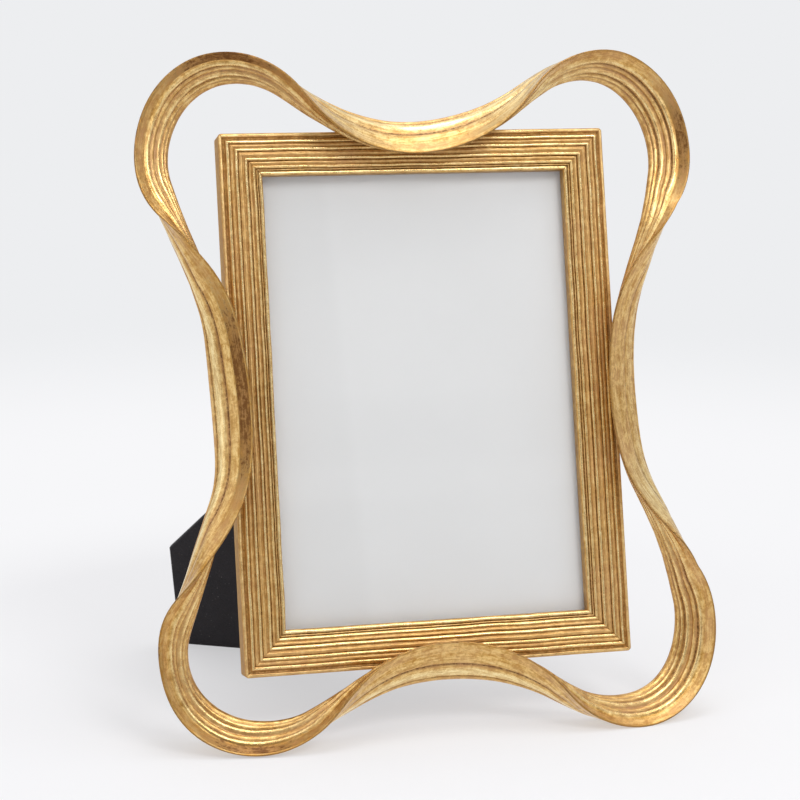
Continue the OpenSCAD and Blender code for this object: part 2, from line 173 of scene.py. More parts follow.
def linear(red, green, blue):
    """A colour as it looks on a screen, 0 to 255, as the linear colour that a shader takes."""
    def channel(value):
        value /= 255
        return value / 12.92 if value <= 0.04045 else ((value + 0.055) / 1.055) ** 2.4
    return (channel(red), channel(green), channel(blue), 1.0)


def finish_material(tree, **inputs):
    """A principled shader with these inputs, with their names' spaces as underscores."""
    named = {key.replace("_", " "): value for key, value in inputs.items()}
    shader = add(tree, "ShaderNodeBsdfPrincipled", named)
    add(tree, "ShaderNodeOutputMaterial", {"Surface": shader.outputs[0]})


def new_material(name):
    made = bpy.data.materials.new(name)
    return made, tree_of(made)


# Gilding
PALE_GOLD = linear(252, 230, 174)
LEAF_GOLD = linear(234, 191, 112)
DEEP_GOLD = linear(184, 134, 58)
BOLE = linear(202, 156, 108)
UMBER = linear(108, 66, 8)
SOOT = linear(112, 68, 8)
# Scales of the gilding's noise, and how much finer hairlines are than streaks
PATCH_SCALE = 55
GRAIN_SCALE = 1500
SPECK_SCALE = 1000
HAIR_FINENESS = 3.1
# Shares of blotches, streaks and specks in the leaf's tone, the middle of its range, and how pale the
# palest tones are away from crests
TONE_SHARES = (0.4, 0.35, 0.25)
TONE_MIDDLE = 0.495
TONE_PALE = 0.5
# How much patches and the ground attribute thin the leaf, and how much of that a crest takes away
PATCH_THIN = 0.4
GROUND_THIN = 0.6
CREST_COVER = 0.8
# Strength of the hairlines where there is no crest
HAIR_DARK = 0.42
# How metallic whole leaf is, and how much of that thin leaf, stains and rubbing take away
LEAF_METAL = 0.92
THIN_LOSS = 0.6
STAIN_LOSS = 0.5
WORN_LOSS = 0.15
# The share of its metal that a matt place loses
MATT_LOSS = 0.85
# Range of the leaf's roughness, how much rougher dull and matt places are, and how much smoother crests
LEAF_ROUGH = (0.27, 0.43)
DULL_ROUGH = 0.3
MATT_ROUGH = 0.3
CREST_SMOOTH = 0.1
# Shares of blotches, grain and streaks in the relief, its depth in metres, and its strength on flat
# places with what crests lose of it
RELIEF_SHARES = (0.7, 0.28, 0.55)
RELIEF_DEPTH = 0.0005
RELIEF_STRENGTH = (0.5, 0.38)
COAT_ROUGH = 0.3


# Nearly all of a noise lies between 0.3 and 0.7, so the windows on it do too
def gilt(name, streak, mottle, stain, shine, spread, fleck, coat, gloss):
    """Gold leaf over a tan ground. Mesh attributes: groove, crest, ground, wear and matt, each 0 to 1,
    and strip, a place along and across the moulding, drawn out along it. The crest attribute marks a
    painted highlight: paler, smoother leaf. streak and mottle are noise scales, stain is how dark
    grooves are, shine how pale the painted highlight is, spread the range of the leaf's tones, small
    for strong ones, fleck the strength of dark flecks, coat the weight of the clear coat and gloss the
    specular level where there is no metal."""
    made, tree = new_material(name)
    place = add(tree, "ShaderNodeTexCoord").outputs["Object"]
    strip = attribute(tree, "strip").outputs["Vector"]
    groove = attribute(tree, "groove").outputs["Fac"]
    crest = attribute(tree, "crest").outputs["Fac"]
    ground = attribute(tree, "ground").outputs["Fac"]
    wear = attribute(tree, "wear").outputs["Fac"]
    matt = attribute(tree, "matt").outputs["Fac"]

    streaks = cloud(tree, strip, streak, 5, 0.62)
    hairs = cloud(tree, strip, streak * HAIR_FINENESS, 3, 0.6)
    blotch = cloud(tree, place, mottle, 6, 0.7, 0.4)
    patch = cloud(tree, place, PATCH_SCALE, 3, 0.55)
    grain = cloud(tree, place, GRAIN_SCALE, 4, 0.75)
    speck = cloud(tree, place, SPECK_SCALE, 4, 0.75)

    # Leaf colour, from deep to pale, with a painted highlight of pale leaf along the crests
    tone = plus(tree, times(tree, blotch, TONE_SHARES[0]), times(tree, streaks, TONE_SHARES[1]))
    tone = plus(tree, tone, times(tree, speck, TONE_SHARES[2]))
    light = window(tree, tone, TONE_MIDDLE - spread, TONE_MIDDLE + spread)
    leaf = blend_colour(tree, light, DEEP_GOLD, LEAF_GOLD)
    bright = times(tree, window(tree, tone, 0.5, 0.64), TONE_PALE)
    ridge = times(tree, crest, window(tree, streaks, 0.38, 0.6, 0.5 * shine, shine))
    bright = plus(tree, bright, ridge, clamp=True)
    leaf = blend_colour(tree, bright, leaf, PALE_GOLD)

    # Tan ground where the leaf is thin
    thin = window(tree, patch, 0.42, 0.68, 0.0, PATCH_THIN)
    thin = plus(tree, thin, times(tree, ground, GROUND_THIN))
    thin = times(tree, thin, window(tree, tone, 0.4, 0.58, 1.2, 0.45))
    thin = times(tree, thin, minus(tree, 1.0, times(tree, crest, CREST_COVER)), clamp=True)
    colour = blend_colour(tree, thin, leaf, BOLE)

    # Umber in grooves, in hairlines and as flecks
    deep = times(tree, groove, window(tree, speck, 0.4, 0.56, 0.25, 1.3))
    deep = times(tree, deep, window(tree, streaks, 0.3, 0.55, 0.6, 1.1))
    deep = times(tree, deep, stain)
    hair = times(tree, window(tree, hairs, 0.58, 0.7), minus(tree, HAIR_DARK, crest))
    deep = calc(tree, "MAXIMUM", deep, hair, clamp=True)
    colour = blend_colour(tree, deep, colour, UMBER)
    flecks = times(tree, window(tree, speck, 0.58, 0.66, 0.0, fleck), minus(tree, 1.0, crest))
    colour = blend_colour(tree, flecks, colour, UMBER)

    # Brown where the leaf is rubbed, and darker brown on the rails' outer walls
    worn = times(tree, wear, window(tree, streaks, 0.4, 0.58, 0.6, 1.1))
    worn = times(tree, worn, window(tree, blotch, 0.36, 0.6, 0.45, 1.15))
    worn = times(tree, worn, window(tree, speck, 0.42, 0.58, 0.75, 1.1), clamp=True)
    colour = blend_colour(tree, worn, colour, SOOT)

    dull = calc(tree, "MAXIMUM", times(tree, thin, THIN_LOSS), times(tree, deep, STAIN_LOSS))
    dull = calc(tree, "MAXIMUM", dull, times(tree, worn, WORN_LOSS))
    metal = minus(tree, LEAF_METAL, dull, clamp=True)
    metal = times(tree, metal, minus(tree, 1.0, times(tree, matt, MATT_LOSS)))
    rough = window(tree, blotch, 0.35, 0.65, *LEAF_ROUGH)
    rough = plus(tree, rough, times(tree, dull, DULL_ROUGH))
    rough = minus(tree, rough, times(tree, crest, CREST_SMOOTH))
    rough = plus(tree, rough, times(tree, matt, MATT_ROUGH))

    height = plus(tree, times(tree, blotch, RELIEF_SHARES[0]), times(tree, grain, RELIEF_SHARES[1]))
    height = plus(tree, height, times(tree, streaks, RELIEF_SHARES[2]))
    strength = minus(tree, RELIEF_STRENGTH[0], times(tree, crest, RELIEF_STRENGTH[1]))
    bump = add(tree, "ShaderNodeBump", {"Strength": strength, "Distance": RELIEF_DEPTH,
                                        "Height": height})
    finish_material(tree, Base_Color=colour, Metallic=metal, Roughness=rough, Normal=bump.outputs[0],
                    Specular_IOR_Level=gloss, Coat_Weight=coat, Coat_Roughness=COAT_ROUGH)
    return made


# The strip attribute's scale along and across a moulding
STRIP_ALONG = 0.16
STRIP_ACROSS = 2.0
MOULDING_GILT = gilt("moulding_gilt", streak=1000, mottle=330, stain=1.15, shine=0.75, spread=0.075,
                     fleck=0.35, coat=0.1, gloss=0.1)
RIBBON_GILT = gilt("ribbon_gilt", streak=800, mottle=300, stain=1.0, shine=0.5, spread=0.05,
                   fleck=0.35, coat=0.3, gloss=0.5)


# Places: the upright drawing has the moulding's back at y = 0 and the window's centre at the origin
def grounding():
    """Where the upright drawing's origin lies, from the glass pane's corners."""
    low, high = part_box("glass_pane")
    front = -RABBET_DEPTH
    back = front + GLASS_T
    half = PICTURE[1] / 2
    middle_y = (high.y / MM) - (back * math.cos(LEAN) + half * math.sin(LEAN))
    middle_z = (high.z / MM) - (half * math.cos(LEAN) - front * math.sin(LEAN))
    return middle_y, middle_z


SHIFT_Y, SHIFT_Z = grounding()


def stand(points):
    """Upright places in millimetres, leaned back and set on the ground, in metres."""
    points = np.asarray(points, float)
    x, y, z = points[..., 0], points[..., 1], points[..., 2]
    cosine, sine = math.cos(LEAN), math.sin(LEAN)
    leaned = np.stack([x, y * cosine + z * sine + SHIFT_Y, z * cosine - y * sine + SHIFT_Z], -1)
    return leaned * MM


def wobble(points, size, scale, seed=0.0):
    """Small hand-made unevenness at each place, from -size to size. Each seed has its own."""
    shift = Vector((seed, 2.3 * seed, -1.7 * seed))
    flat = np.asarray(points, float).reshape(-1, 3)
    values = [noise.noise(Vector(p) * scale + shift) for p in flat]
    return size * np.array(values).reshape(np.asarray(points).shape[:-1])


def ring_faces(count, size, closed):
    """Faces between neighbouring rings of points, and from the last ring to the first if closed."""
    faces = []
    for i in range(count if closed else count - 1):
        k = (i + 1) % count
        for j in range(size):
            m = (j + 1) % size
            faces.append((i * size + j, i * size + m, k * size + m, k * size + j))
    return faces


def piece(name, points, faces, values, material, node):
    """A mesh in place, with its attributes, that stands for a node of the frame's body."""
    mesh = bpy.data.meshes.new(name)
    mesh.from_pydata([tuple(p) for p in points.reshape(-1, 3)], [], faces)
    for key, data in values.items():
        data = np.asarray(data, np.float32)
        vector = data.ndim > 1 and data.shape[-1] == 3
        made = mesh.attributes.new(key, "FLOAT_VECTOR" if vector else "FLOAT", "POINT")
        made.data.foreach_set("vector" if vector else "value", data.reshape(-1))
    mesh.shade_smooth()
    mesh.materials.append(material)
    obj = add_object(name, mesh)
    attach(obj, "frame")
    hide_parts(node)


# Ribbon edges: a closed curve of arcs, with the outward normal at each station
def unit(angle):
    return np.array([math.cos(angle), math.sin(angle)])


def arc(centre, r, start, end, steps, side):
    turns = np.linspace(start, end, steps + 1)
    return [(centre + r * unit(a), side * unit(a)) for a in turns]


def between(p, q, normal, steps):
    return [(p + (q - p) * i / (steps + 1), normal) for i in range(1, steps + 1)]


def touching_r(side, ahead, r):
    """Radius of a dip's circle that touches a loop."""
    return (side * side + ahead * ahead - r * r) / (2 * (r - ahead))


def heading(v):
    return math.atan2(v[1], v[0])


def quarter(edge):
    r = edge["r"]
    loop = np.array([HALF_W - edge["in_x"], HALF_H - edge["in_z"]])
    dip_z = HALF_H - edge["dip"]
    waist_x = HALF_W - edge["waist"]
    dip_r = edge["dip_share"] * touching_r(loop[0], dip_z - loop[1], r)
    waist_r = edge["waist_share"] * touching_r(loop[1], waist_x - loop[0], r)
    dip = np.array([0.0, dip_z + dip_r])
    waist = np.array([waist_x + waist_r, 0.0])
    turn_dip = math.acos(min(1, (r + dip_r) / np.linalg.norm(dip - loop)))
    turn_waist = math.acos(min(1, (r + waist_r) / np.linalg.norm(waist - loop)))
    a = (heading(dip - loop) - turn_dip) % (2 * math.pi)
    b = heading(waist - loop) + turn_waist
    s = QUARTER_STEPS
    return (arc(dip, dip_r, -math.pi / 2, a - math.pi, s[0], -1)
            + between(dip - dip_r * unit(a), loop + r * unit(a), unit(a), s[1])
            + arc(loop, r, a, b, s[2], 1)
            + between(loop + r * unit(b), waist - waist_r * unit(b), unit(b), s[3])
            + arc(waist, waist_r, b + math.pi, math.pi, s[4], -1))


def mirrored(stations, mx, mz):
    return [(p * (mx, mz), n * (mx, mz)) for p, n in stations]


def closed_curve(edge):
    q = quarter(edge)
    whole = (q[:-1] + mirrored(q, 1, -1)[:0:-1] + mirrored(q, -1, -1)[:-1] + mirrored(q, -1, 1)[:0:-1])
    return np.array([p for p, n in whole]), np.array([n for p, n in whole])


def along(swing, values):
    loop, flank, dip = values
    return flank + (loop - dip) / 2 * swing + ((loop + dip) / 2 - flank) * swing ** 2


# Faces of the ribbon's section: share of the way from front edge to back edge, half width and height or
# depth, then the strength of each bead's painted highlight and how dark each groove is
INNER_BEADS = [(0.31, 0.065, 0.95, 1.0), (0.47, 0.045, 0.45, 0.55), (0.62, 0.065, 0.95, 1.0),
               (0.775, 0.042, 0.5, 0.8), (0.885, 0.045, 0.3, 0.5)]
INNER_GROOVES = [(0.392, 0.032, 0.55, 0.9), (0.54, 0.035, 0.35, 0.3), (0.705, 0.032, 0.5, 0.7),
                 (0.83, 0.02, 0.3, 0.45), (0.985, 0.025, 0.2, 0.6)]
INNER_GROUND = [(0.12, 0.14, 0.45), (0.42, 0.05, 0.8), (0.545, 0.06, 1.0), (0.71, 0.05, 0.7),
                (0.83, 0.04, 0.9), (0.96, 0.06, 0.8)]
OUTER_BEADS = [(0.41, 0.12, 0.3, 0.4), (0.75, 0.13, 0.5, 1.0), (0.95, 0.05, 0.15, 0.4)]
OUTER_GROOVES = [(0.575, 0.035, 0.5, 0.9), (0.89, 0.02, 0.35, 0.8)]
OUTER_GROUND = [(0.16, 0.14, 0.35), (0.58, 0.09, 0.7), (0.95, 0.07, 1.0)]
# The painted highlight on the outer face's ridges is paler than on the inner face's
PALE_OUTER = 1.25
# The dark in a groove spreads a little past it
STAIN_SPREAD = 1.3
FACE_STEPS = 64
BACK_STEPS = 8
# Shares of the evenly spaced points, and of the closer ones at the tip and at the heel
FACE_RANGE = (0.04, 0.97)
TIP_SHARES = [0.0, 0.003, 0.008, 0.015, 0.025]
HEEL_SHARES = [0.98, 0.99, 0.997, 1.0]
BACK_GROUND = 0.9
# Half thickness of the front arris, and radius of the back ones
TIP_R = 0.35
HEEL_R = 0.9
# Powers that shape the tops of the ribbon's and the rails' beads: 0.5 would be round, 1 a parabola
RIBBON_BEAD_POWER = 0.75
RAIL_BEAD_POWER = 0.6


def round_bump(share, bumps):
    total = np.zeros_like(share)
    for centre, half, height in bumps:
        t = np.clip((share - centre) / half, -1, 1)
        total = total + height * (1 - t * t) ** RIBBON_BEAD_POWER
    return total


def soft_bump(share, bumps):
    total = np.zeros_like(share)
    for centre, half, height in bumps:
        t = np.clip((share - centre) / half, -1, 1)
        total = total + height * np.cos(t * math.pi / 2) ** 2
    return total


def face_shares():
    """Shares from the tip to the heel, closer together at both."""
    return np.concatenate([TIP_SHARES, np.linspace(*FACE_RANGE, FACE_STEPS), HEEL_SHARES])


def section_profile():
    """Shares, side (1 outer, -1 inner), relief and attributes of all the points of a section."""
    shares = face_shares()
    rows = []
    for side, beads, grooves, ground in ((1, OUTER_BEADS, OUTER_GROOVES, OUTER_GROUND),
                                         (-1, INNER_BEADS, INNER_GROOVES, INNER_GROUND)):
        raised = [(centre, half, height) for centre, half, height, pale in beads]
        sunk = [(centre, half, drop) for centre, half, drop, dark in grooves]
        pales = [(centre, half, pale) for centre, half, height, pale in beads]
        stains = [(centre, half * STAIN_SPREAD, dark) for centre, half, drop, dark in grooves]
        # Each bead's painted highlight, carried as the crest attribute
        peak = np.clip(round_bump(shares, pales), 0, 1) * (PALE_OUTER if side == 1 else 1.0)
        rows.append({"share": shares, "side": np.full_like(shares, side),
                     "relief": round_bump(shares, raised) - soft_bump(shares, sunk),
                     "crest": peak ** 2,
                     "groove": np.clip(soft_bump(shares, stains), 0, 1),
                     "ground": np.clip(soft_bump(shares, ground), 0, 1)})
    outer, inner = rows
    across = np.linspace(1, -1, BACK_STEPS + 2)[1:-1]
    joined = {}
    for key in outer:
        back = {"share": np.ones(BACK_STEPS), "side": across,
                "ground": np.full(BACK_STEPS, BACK_GROUND)}
        middle = back.get(key, np.zeros(BACK_STEPS))
        joined[key] = np.concatenate([outer[key], middle, inner[key][:0:-1]])
    return joined


# Places on the ribbon where the leaf is rubbed: x, z, reach, the shares between which it shows, and
# how much
WORN = [
    (-75, 130, 22, 0.0, 0.2, 1.4), (-98, 112, 16, 0.0, 0.06, 0.7), (100, 104, 20, 0.37, 0.39, 1.0),
    (-72, 4, 38, 0.04, 0.3, 1.5), (-78, -134, 24, 0.04, 0.26, 1.2), (30, 96, 16, 0.1, 0.35, 0.5),
    (108, 97, 20, 0.02, 0.24, 1.1), (-60, -128, 16, 0.5, 0.8, 0.3), (-104, -96, 16, 0.0, 0.1, 0.4),
]
# Over this share it fades out at either side
WEAR_EDGE = 0.015
# The same for painted highlights: places where the leaf is drawn pale and smooth
PAINTED_HIGHLIGHTS = [
    (44, 112, 22, 0.15, 0.85, 1.3), (-30, 106, 20, 0.15, 0.85, 0.8), (90, -43, 18, 0.1, 0.9, 1.3),
    (98, 58, 14, 0.2, 0.7, 0.8),
]
PAINTED_HIGHLIGHT_EDGE = 0.12
# The front arris is rubbed all along: down to this share, and how much
ARRIS_WEAR = (0.03, 0.9)
# The waist on the right is nearly smooth: its place, its reach sideways and upwards, and how much
CALM = (78, 0, 22, 46, 0.75)


# The casting isn't quite regular: x, z and reach of each uneven place, then its shift to the right
# and up
UNEVEN = [
    (-106, 104, 20, 1.3, 0.0), (-84, 132, 22, 0.0, 1.0), (-36, 108, 26, -0.6, -0.5),
    (-18, 100, 20, 0.0, -0.6), (50, 122, 20, -0.4, -0.1), (84, 132, 18, 0.0, 1.0),
    (108, 100, 22, -1.3, 0.0), (-102, 74, 22, -1.0, 0.0), (-90, 42, 26, 1.5, 0.0),
    (101, 70, 22, 0.9, -0.3), (88, 40, 26, -1.4, 0.0), (-78, 10, 26, -2.0, 0.0),
    (76, 0, 26, 0.9, 0.0), (-86, -32, 16, 1.7, 0.0), (84, -34, 18, -1.3, 0.0),
    (98, -58, 18, 1.0, 0.6), (110, -98, 22, -1.6, 0.0), (0, -96, 34, 0.0, -1.0),
    (84, -128, 20, 0.0, -0.9), (-40, -112, 18, 0.5, -0.6), (-107, -78, 14, -1.2, 0.0),
    (-108, -100, 18, 0.9, 0.0),
]
# The same for the back edge alone, where it isn't parallel to the front edge
HEEL_UNEVEN = [
    (-69, -119, 20, 0.0, 2.0), (70, -119, 20, 0.0, 2.0), (-96, -100, 16, -1.5, 0.0),
    (-92, 84, 15, 0.6, 0.0), (90, 82, 18, -0.8, 0.0), (-5, 104, 28, 0.0, -0.8),
    (0, -104, 34, 0.0, -0.7),
]
# Long and short unevenness of the ribbon's faces, as wobble takes it, and where the short one starts
RIBBON_SWELL = (0.16, 0.05)
RIBBON_RIPPLE = (0.07, 0.25, 3.1)
RIPPLE_START = 0.05


def uneven_shift(x, z, places):
    right = np.zeros_like(x)
    up = np.zeros_like(x)
    for at_x, at_z, reach, shift_x, shift_z in places:
        share = np.exp(-((x - at_x) ** 2 + (z - at_z) ** 2) / reach ** 2)
        right = right + shift_x * share
        up = up + shift_z * share
    return right, up


def places_on(points, share, places, edge):
    """How far each point of the ribbon lies in one of the places, which fade out at their edges."""
    total = np.zeros(points.shape[:-1])
    for x, z, reach, low, high, strength in places:
        close = np.exp(-((points[..., 0] - x) ** 2 + (points[..., 2] - z) ** 2) / reach ** 2)
        inside = np.clip((share - low) / edge + 1, 0, 1) * np.clip((high - share) / edge + 1, 0, 1)
        total = np.maximum(total, close * inside * strength)
    return total


def ribbon():
    front, front_out = closed_curve(FRONT_EDGE)
    back, back_out = closed_curve(BACK_EDGE)
    out = front_out + back_out
    out /= np.linalg.norm(out, axis=1)[:, None]
    wide = np.sum((front - back) * out, axis=1)
    swing = np.clip(wide / FULL_SWING, -1, 1)
    edge = np.stack([front[:, 0], -along(swing, FRONT_HEIGHT), front[:, 1]], -1)
    heel = np.stack([back[:, 0], -along(swing, BACK_HEIGHT), back[:, 1]], -1)
    half = along(swing, BACK_HALF)
    deep = heel[:, 1] - edge[:, 1]
    length = np.hypot(deep, wide)
    across = np.stack([out[:, 0] * deep / length, wide / length, out[:, 1] * deep / length], -1)

    p = section_profile()
    share, side = p["share"][None, :], p["side"][None, :]
    depth = share * length[:, None]
    tip = np.clip(depth / TIP_R, 0, 1)
    thick = half[:, None] * share + TIP_R * np.sqrt(1 - (1 - tip) ** 2) * (1 - share)
    rest = np.clip((length[:, None] - depth) / HEEL_R, 0, 1)
    thick = thick - HEEL_R * (1 - np.sqrt(1 - (1 - rest) ** 2)) * (np.abs(side) == 1)
    points = edge[:, None, :] + (heel - edge)[:, None, :] * share[..., None]
    x, z, reach_x, reach_z, most = CALM
    off_x = (points[..., 0] - x) / reach_x
    off_z = (points[..., 2] - z) / reach_z
    lively = 1 - most * np.exp(-off_x ** 2 - off_z ** 2)
    ripple = wobble(points, *RIBBON_RIPPLE) * (share > RIPPLE_START)
    relief = p["relief"][None, :] * lively + wobble(points, *RIBBON_SWELL) + ripple
    points = points + across[:, None, :] * (side * (thick + relief * (np.abs(side) == 1)))[..., None]

    # Length along the ribbon, on a circle so that its two ends meet
    step = np.linalg.norm(np.roll(front, -1, 0) - front, axis=1)
    run = np.concatenate([[0], np.cumsum(step)[:-1]]) * MM
    whole = step.sum() * MM
    turn = 2 * math.pi * run / whole
    ring = whole / (2 * math.pi)
    strip = np.stack(np.broadcast_arrays(
        (STRIP_ALONG * ring * np.cos(turn))[:, None], (STRIP_ALONG * ring * np.sin(turn))[:, None],
        depth * MM * STRIP_ACROSS + side), -1)

    wear = np.maximum(ARRIS_WEAR[1] * np.clip(1 - share / ARRIS_WEAR[0], 0, 1),
                      places_on(points, share, WORN, WEAR_EDGE))
    painted_highlight = places_on(points, share, PAINTED_HIGHLIGHTS, PAINTED_HIGHLIGHT_EDGE)

    right, up = uneven_shift(points[..., 0], points[..., 2], UNEVEN)
    heel_right, heel_up = uneven_shift(points[..., 0], points[..., 2], HEEL_UNEVEN)
    moved = [right + share * heel_right, np.zeros_like(right), up + share * heel_up]
    points = points + np.stack(moved, -1)
    placed = stand(points)
    placed[..., 2] = np.maximum(placed[..., 2], 0)
    faces = ring_faces(*placed.shape[:2], closed=True)
    values = {"strip": strip.reshape(-1, 3), "wear": wear.reshape(-1)}
    for key in ("groove", "crest", "ground"):
        values[key] = (p[key][None, :] * lively).reshape(-1)
    # The painted highlights are set as crest, so the leaf is drawn pale there
    values["crest"] = np.maximum(values["crest"], painted_highlight.reshape(-1))
    piece("ribbon_casting", placed, faces, values, RIBBON_GILT, "ribbon_surround")


ribbon()


# Rails: a profile of beads, from the outer edge to the window, run along each side and mitred.
# Each bead drops to a scored line on its window side, then a low ridge and a soft hollow lead to the
# next one. The moulding isn't quite even, so each side has its own share of the profile's width.
# Spacing of the profile's points, radius of its outer arris, and how far the wall leans in
FINE = 0.1
EDGE_R = 0.5
WALL_DRAFT = 0.4
# How much darker brown the outer wall is, carried by the wear attribute
WALL_BROWN = 0.2
PROFILE_W = 16.65
WIDTH_SHARE = {"top": 0.99, "bottom": 1.03, "left": 1.0, "right": 1.03}
# Rim: its middle, half width, height over its own foot, and the strength of its painted highlight
RIM_MIDDLE = 0.8
RIM_HALF = 0.8
RIM_FALL = 0.35
RIM_PALE = 0.6
# Place, half width, drop and stain of the hollow inside the rim
RIM_HOLLOW = (1.95, 0.8, 0.4, 0.5)
FACE_GROUND = 0.6
# Beads: place, half width, rise, and how dark its scored line is
BEADS = [(3.25, 0.75, 0.6, 0.5), (6.45, 0.75, 0.65, 0.85), (10.25, 0.75, 0.65, 1.0),
         (13.35, 0.7, 0.45, 1.0)]
# A bead of this rise takes the full painted highlight, over this share of its width, and hides this
# much ground
FULL_RISE = 0.6
CREST_SHARE = 0.8
BEAD_COVER = 0.9
# How far the beads' feet lie below the solids' reeds
BEAD_BASE = 0.6
# Half width and depth of a scored line, and half width of its stain
SCORE_HALF = 0.2
SCORE_DROP = 0.35
STAIN_HALF = 0.32
# Place and half width of the ridge and the hollow, as shares of the way to the next bead
RIDGE_SHARES = (0.5, 0.22)
# Rise of the ridge, and the strength of its painted highlight
RIDGE_RISE = 0.2
RIDGE_PALE = 0.35
HOLLOW_SHARES = (0.76, 0.2)
HOLLOW_DROP = 0.12
HOLLOW_STAIN = 0.35
# Lip: half width, the share of it under its painted highlight, its ground, and where its stain lies
# past its outer foot
LIP_HALF = 0.9
LIP_CREST_SHARE = 0.7
LIP_GROUND = 0.2
LIP_STAIN_PAST = 0.05


def near(d, place, half):
    """From 1 at a place to 0 at half away from it."""
    return np.cos(np.clip((d - place) / half, -1, 1) * math.pi / 2) ** 2


def rail_heights(d):
    """Height of the moulding's front face at distance d from its outer edge, with groove, crest and
    ground."""
    inner = PROFILE_W - 2 * LIP_HALF
    part = np.clip((d - RIM_W) / (inner - RIM_W), 0, 1)
    height = RIM_H + REED_RISE + REED_CROWN * np.sin(math.pi * part) - BEAD_BASE
    height = np.where(d < RIM_W, RIM_H - RIM_FALL, height)
    # crest is a painted highlight along the rim, the beads, the ridges and the lip
    crest = RIM_PALE * near(d, RIM_MIDDLE, RIM_HALF)
    place, half, drop, stain = RIM_HOLLOW
    groove = stain * near(d, place, half)
    ground = np.full_like(d, FACE_GROUND)
    t = np.clip((d - RIM_MIDDLE) / RIM_HALF, -1, 1)
    height = height + RIM_FALL * (1 - t ** 4) - drop * near(d, place, half)
    ends = [bead[0] for bead in BEADS[1:]] + [PROFILE_W - LIP_HALF]
    for (place, half, rise, stain), after in zip(BEADS, ends):
        gap = after - place
        t = np.clip((d - place) / half, -1, 1)
        height = height + rise * (1 - t * t) ** RAIL_BEAD_POWER
        crest = np.maximum(crest, np.clip(1 - (t / CREST_SHARE) ** 2, 0, 1) * min(1, rise / FULL_RISE))
        ground = ground * (1 - BEAD_COVER * np.clip(1 - t ** 4, 0, 1))
        score = place + half + SCORE_HALF / 2
        height = height - SCORE_DROP * near(d, score, SCORE_HALF)
        groove = np.maximum(groove, stain * near(d, score, STAIN_HALF))
        ridge = place + RIDGE_SHARES[0] * gap
        height = height + RIDGE_RISE * near(d, ridge, RIDGE_SHARES[1] * gap)
        crest = np.maximum(crest, RIDGE_PALE * near(d, ridge, RIDGE_SHARES[1] * gap / 2))
        hollow = place + HOLLOW_SHARES[0] * gap
        height = height - HOLLOW_DROP * near(d, hollow, HOLLOW_SHARES[1] * gap)
        groove = np.maximum(groove, HOLLOW_STAIN * near(d, hollow, HOLLOW_SHARES[1] * gap))
    t = (d - PROFILE_W + LIP_HALF) / LIP_HALF
    lip = t > -1
    dome = RIM_H + LIP_RISE - LIP_HALF + LIP_HALF * np.sqrt(np.clip(1 - t * t, 0, 1))
    height = np.where(lip, dome, height)
    crest = np.where(lip, np.clip(1 - (t / LIP_CREST_SHARE) ** 2, 0, 1), crest)
    ground = np.where(lip, LIP_GROUND, ground)
    groove = np.maximum(groove, near(d, inner + LIP_STAIN_PAST, STAIN_HALF))
    round_off = np.clip(1 - d / EDGE_R, 0, 1)
    height = height - EDGE_R * (1 - np.sqrt(1 - round_off ** 2))
    return height, groove, crest, ground


# Extra points at the outer edge, and back from the lip's end
EDGE_POINTS = [0.0, 0.03, 0.1, 0.2, 0.35]
LIP_POINTS = np.array([0.05, 0.02, 0.0])
# Groove, crest and ground on the outer wall, with how much more groove there is at its front
WALL_LOOK = (0.1, 0.0, 0.2)
WALL_STAIN_RISE = 0.15
WALL_STEPS = 8
# The same on the wall round the window, in the rebate for the glass, and on the back
SIGHT_LOOK = (0.25, 0.0, 0.3)
SIGHT_STEPS = 6
REBATE_LOOK = (0.4, 0.0, 0.9)
BACK_LOOK = (0.0, 0.0, 1.0)


def rail_profile(cover):
    """Points (distance from the outer edge, height over the back) round the section, with values."""
    rabbet = RAIL_W - cover - PICTURE_SLACK
    face = np.unique(np.concatenate([EDGE_POINTS, np.arange(EDGE_R, PROFILE_W, FINE),
                                     PROFILE_W - LIP_POINTS]))
    height, groove, crest, ground = rail_heights(face)
    side = RIM_H - EDGE_R
    stain, pale, tan = WALL_LOOK
    rows = [(WALL_DRAFT * (1 - h / side), h, stain + WALL_STAIN_RISE * h / side, pale, tan)
            for h in np.linspace(0, side, WALL_STEPS)[:-1]]
    rows += list(zip(face, height, groove, crest, ground))
    low = RABBET_DEPTH
    rows += [(PROFILE_W, h) + SIGHT_LOOK for h in np.linspace(height[-1], low, SIGHT_STEPS)[1:]]
    rows += [(rabbet, low) + REBATE_LOOK, (rabbet, 0.0) + BACK_LOOK, (rabbet / 2, 0.0) + BACK_LOOK]
    return np.array(rows)


RAIL_STATIONS = 72
MITRE_STATIONS = 6
MITRE_START = 0.8
# The mitre line is this much lower, from this share of the way to it and over this share
MITRE_DROP = (0.12, 0.7, 0.3)
# Long and short unevenness of the front, and how much the beads sway, as wobble takes them
RAIL_SWELL = (0.1, 0.09)
RAIL_RIPPLE = (0.07, 0.45)
RAIL_SWAY = (0.22, 0.07)
# They start this far in front of the rabbet and are whole after this distance
UNEVEN_START = 1.5
UNEVEN_FADE = 2


def set_out(d, share):
    """Distances from the outer edge on a side with its own share of the profile's width."""
    return np.where(d < CORNER_R, d, CORNER_R + (d - CORNER_R) * share)


